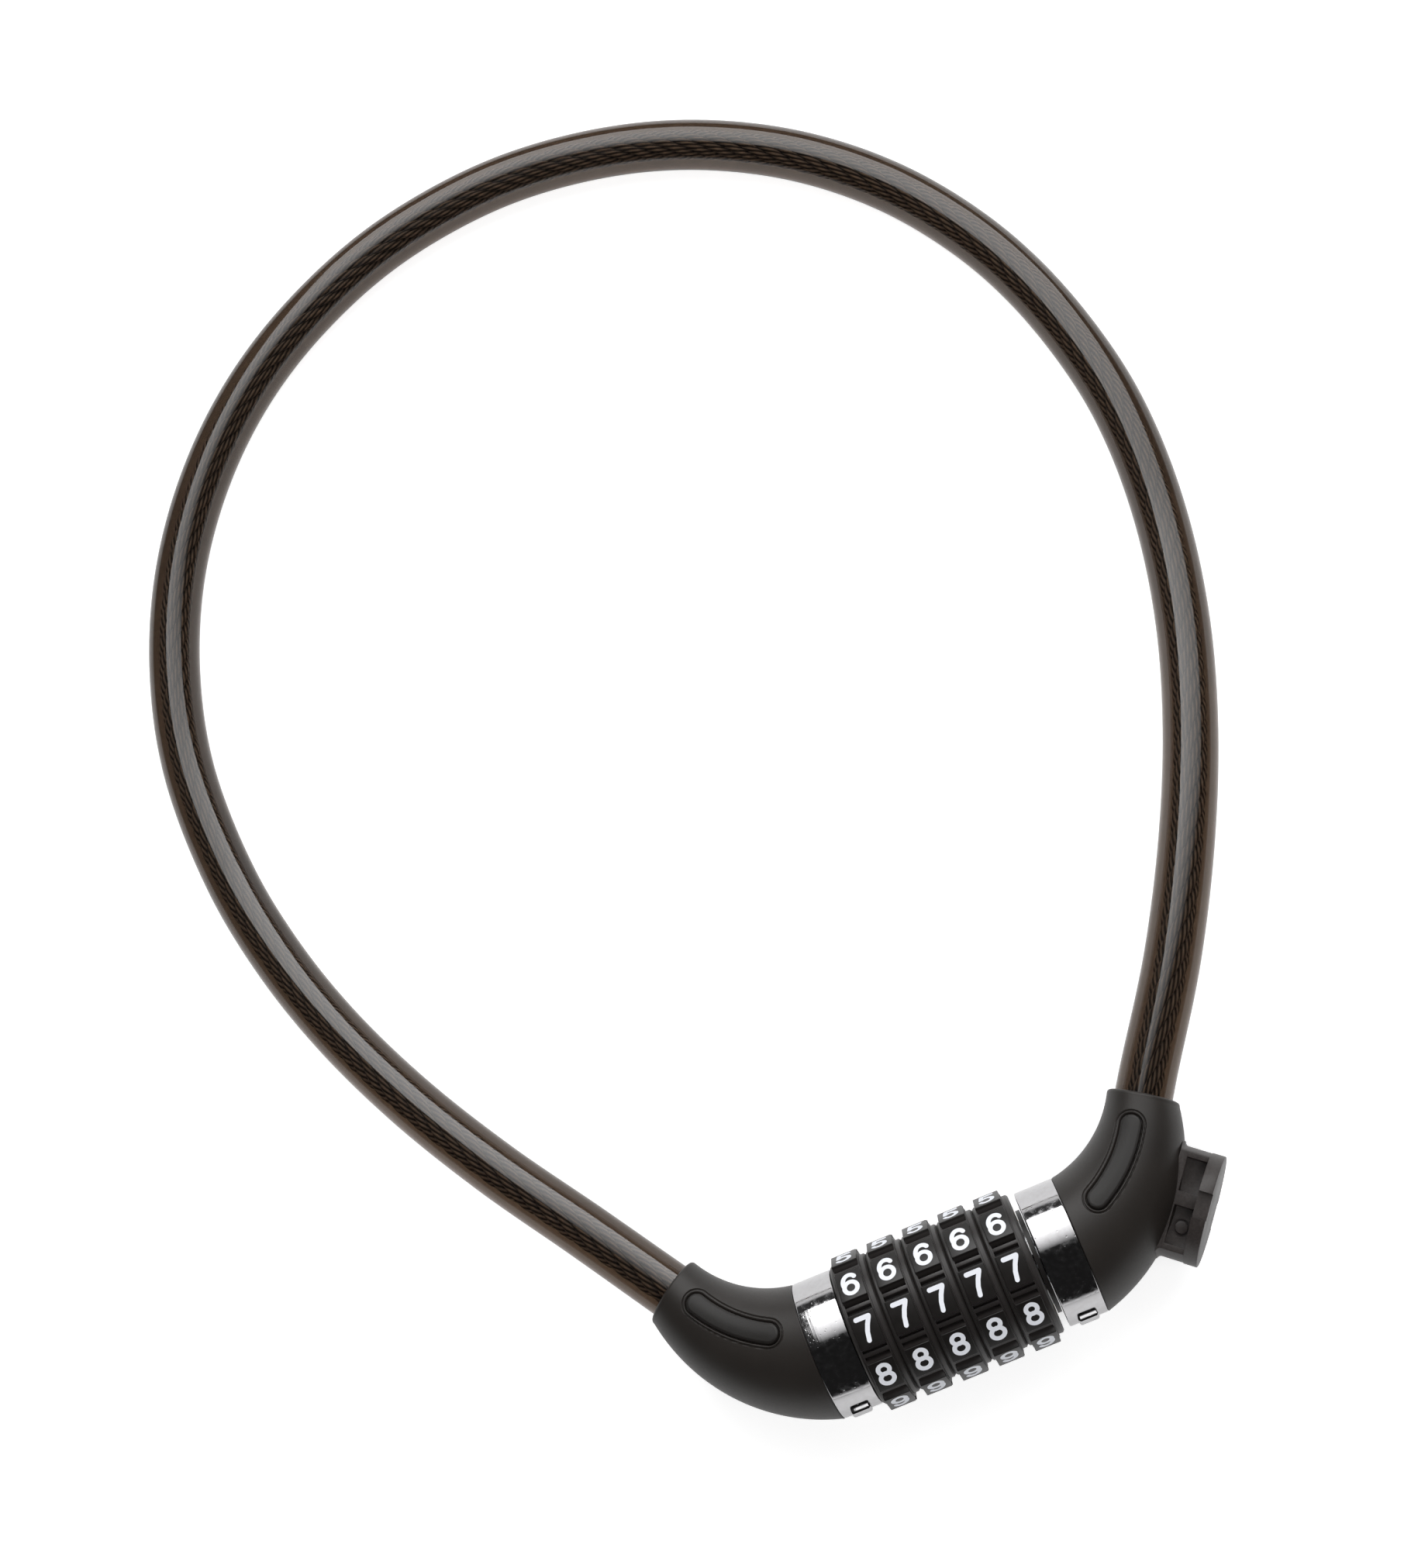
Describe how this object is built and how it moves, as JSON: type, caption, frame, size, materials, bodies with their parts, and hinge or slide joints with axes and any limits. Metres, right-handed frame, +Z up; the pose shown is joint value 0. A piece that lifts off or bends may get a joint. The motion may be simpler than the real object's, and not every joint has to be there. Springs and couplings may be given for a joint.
{
  "type": "combination cable lock",
  "caption": "Combination cable lock: a barrel of number wheels between two black elbows, with a smoky plastic-covered steel cable looped from one elbow to the other.",
  "frame": {"origin": "middle of the third number wheel's lowest tile, on the surface that the lock lies on", "axes": "+X along the barrel from the fixed end to the plug, +Y into the cable loop, +Z up"},
  "size_m": [0.2045, 0.2601, 0.0268],
  "materials": {
    "soft_touch_plastic": "soft-touch matte black",
    "grip_rubber": "matte black",
    "chrome_plate": "bright chrome plate, lightly scratched",
    "zinc_casting": "as cast",
    "bright_steel": "turned",
    "black_plastic": "satin black moulded ABS",
    "brass": "turned",
    "clear_smoke_vinyl": "glossy translucent smoke-coloured vinyl",
    "wire_rope_steel": "stranded galvanised wire"
  },
  "bodies": {
    "lock_body": {"left_elbow_cover": "soft_touch_plastic", "left_grip_pads": "grip_rubber", "left_collar": "chrome_plate", "left_elbow_core": "zinc_casting", "core_tube": "bright_steel", "tube_pin": "bright_steel", "left_ferrule": "bright_steel", "left_ferrule_pin": "bright_steel", "retaining_ring": "black_plastic", "detent_balls": "bright_steel", "detent_springs": "bright_steel", "cable_sheath": "clear_smoke_vinyl", "wire_rope": "wire_rope_steel"},
    "plug": {"right_elbow_cover": "soft_touch_plastic", "right_grip_pads": "grip_rubber", "right_collar": "chrome_plate", "right_elbow_core": "zinc_casting", "bolt": "bright_steel", "bolt_pin": "bright_steel", "right_ferrule": "bright_steel", "right_ferrule_pin": "bright_steel"},
    "dial_1": {"number_wheel_1": "black_plastic", "code_ring_1": "brass"},
    "dial_2": {"number_wheel_2": "black_plastic", "code_ring_2": "brass"},
    "dial_3": {"number_wheel_3": "black_plastic", "code_ring_3": "brass"},
    "dial_4": {"number_wheel_4": "black_plastic", "code_ring_4": "brass"},
    "dial_5": {"number_wheel_5": "black_plastic", "code_ring_5": "brass"}
  },
  "joints": [
    {"name": "plug_pull", "type": "slide", "parent": "lock_body", "child": "plug", "axis": [1, 0, 0], "range_m": [0, 0.04], "deforming": ["cable_sheath", "wire_rope"]},
    {"name": "dial_1_turn", "type": "hinge", "parent": "lock_body", "child": "dial_1", "pos_m": [0, 0, 0.0134], "axis": [1, 0, 0], "continuous": true},
    {"name": "dial_2_turn", "type": "hinge", "parent": "lock_body", "child": "dial_2", "pos_m": [0, 0, 0.0134], "axis": [1, 0, 0], "continuous": true},
    {"name": "dial_3_turn", "type": "hinge", "parent": "lock_body", "child": "dial_3", "pos_m": [0, 0, 0.0134], "axis": [1, 0, 0], "continuous": true},
    {"name": "dial_4_turn", "type": "hinge", "parent": "lock_body", "child": "dial_4", "pos_m": [0, 0, 0.0134], "axis": [1, 0, 0], "continuous": true},
    {"name": "dial_5_turn", "type": "hinge", "parent": "lock_body", "child": "dial_5", "pos_m": [0, 0, 0.0134], "axis": [1, 0, 0], "continuous": true}
  ]
}
